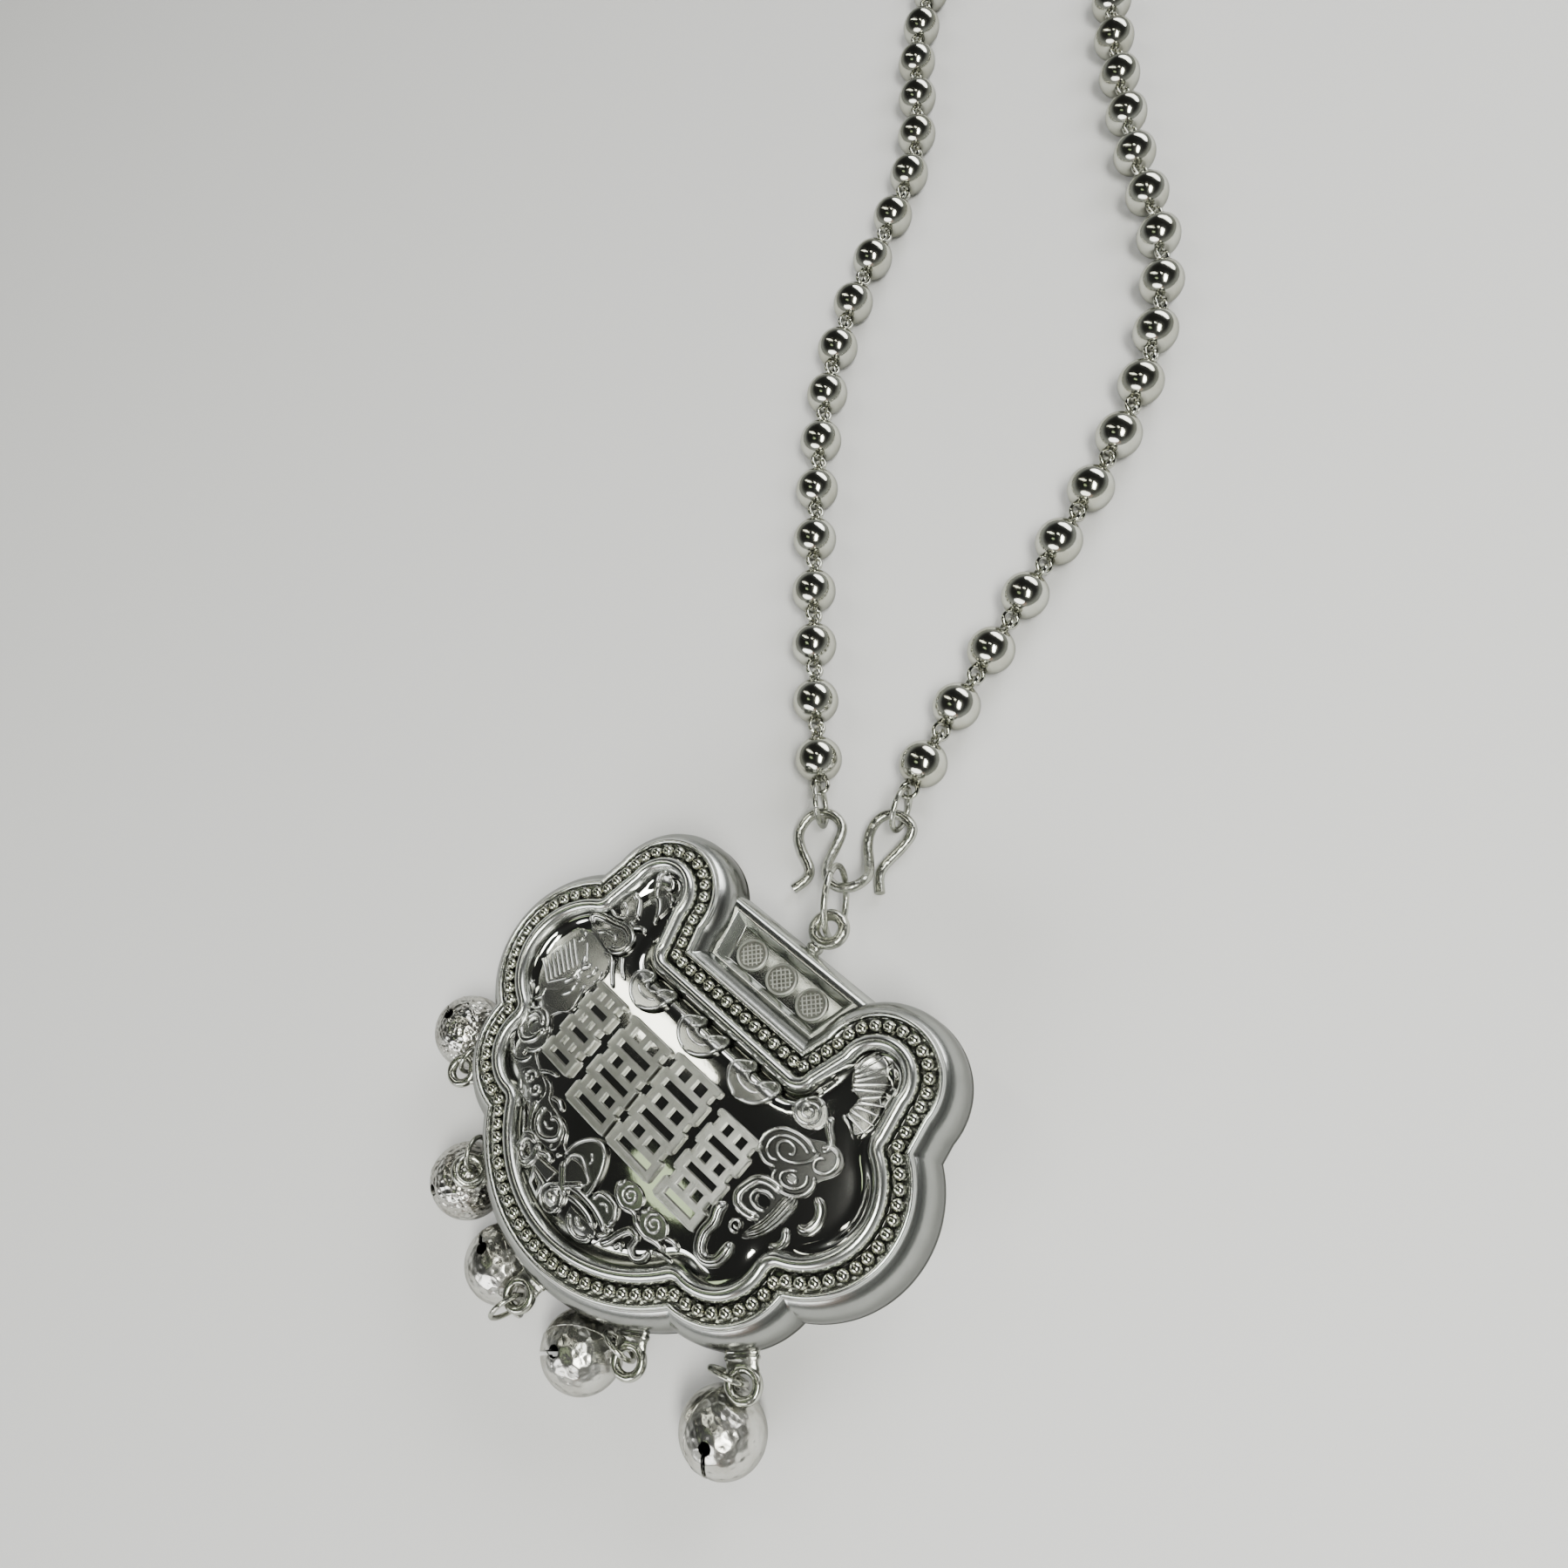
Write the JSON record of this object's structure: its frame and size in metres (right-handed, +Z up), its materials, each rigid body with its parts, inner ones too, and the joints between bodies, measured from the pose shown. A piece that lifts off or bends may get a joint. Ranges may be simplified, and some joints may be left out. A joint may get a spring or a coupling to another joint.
{
  "type": "padlock pendant with bells on a bead chain",
  "caption": "Silver padlock-shaped pendant with cast ornament, a beaded rim and round bells along its foot, on a loop of linked beads.",
  "frame": {"origin": "on the flat back of the lock, under the middle of the straight top line of its rim beads", "axes": "+Z up out of the front of the lock, +X along the bar between the ears, +Y from the lock towards the chain, the longest side"},
  "size_m": [0.1344, 0.2315, 0.0143],
  "materials": {
    "cast_silver": "polished silver with darkened recesses",
    "bell_silver": "polished hammered silver",
    "wire_silver": "worn silver wire",
    "bead_silver": "polished silver"
  },
  "bodies": {
    "root": {"lock_body": "cast_silver", "bell_1": "bell_silver", "bell_2": "bell_silver", "bell_3": "bell_silver", "bell_4": "bell_silver", "bell_5": "bell_silver", "bell_ring_1": "wire_silver", "bell_ring_2": "wire_silver", "bell_ring_3": "wire_silver", "bell_ring_4": "wire_silver", "bell_ring_5": "wire_silver", "jump_ring": "wire_silver", "m_hook": "wire_silver", "end_ring_1": "wire_silver", "end_ring_2": "wire_silver", "bead_chain": "bead_silver"}
  },
  "joints": []
}
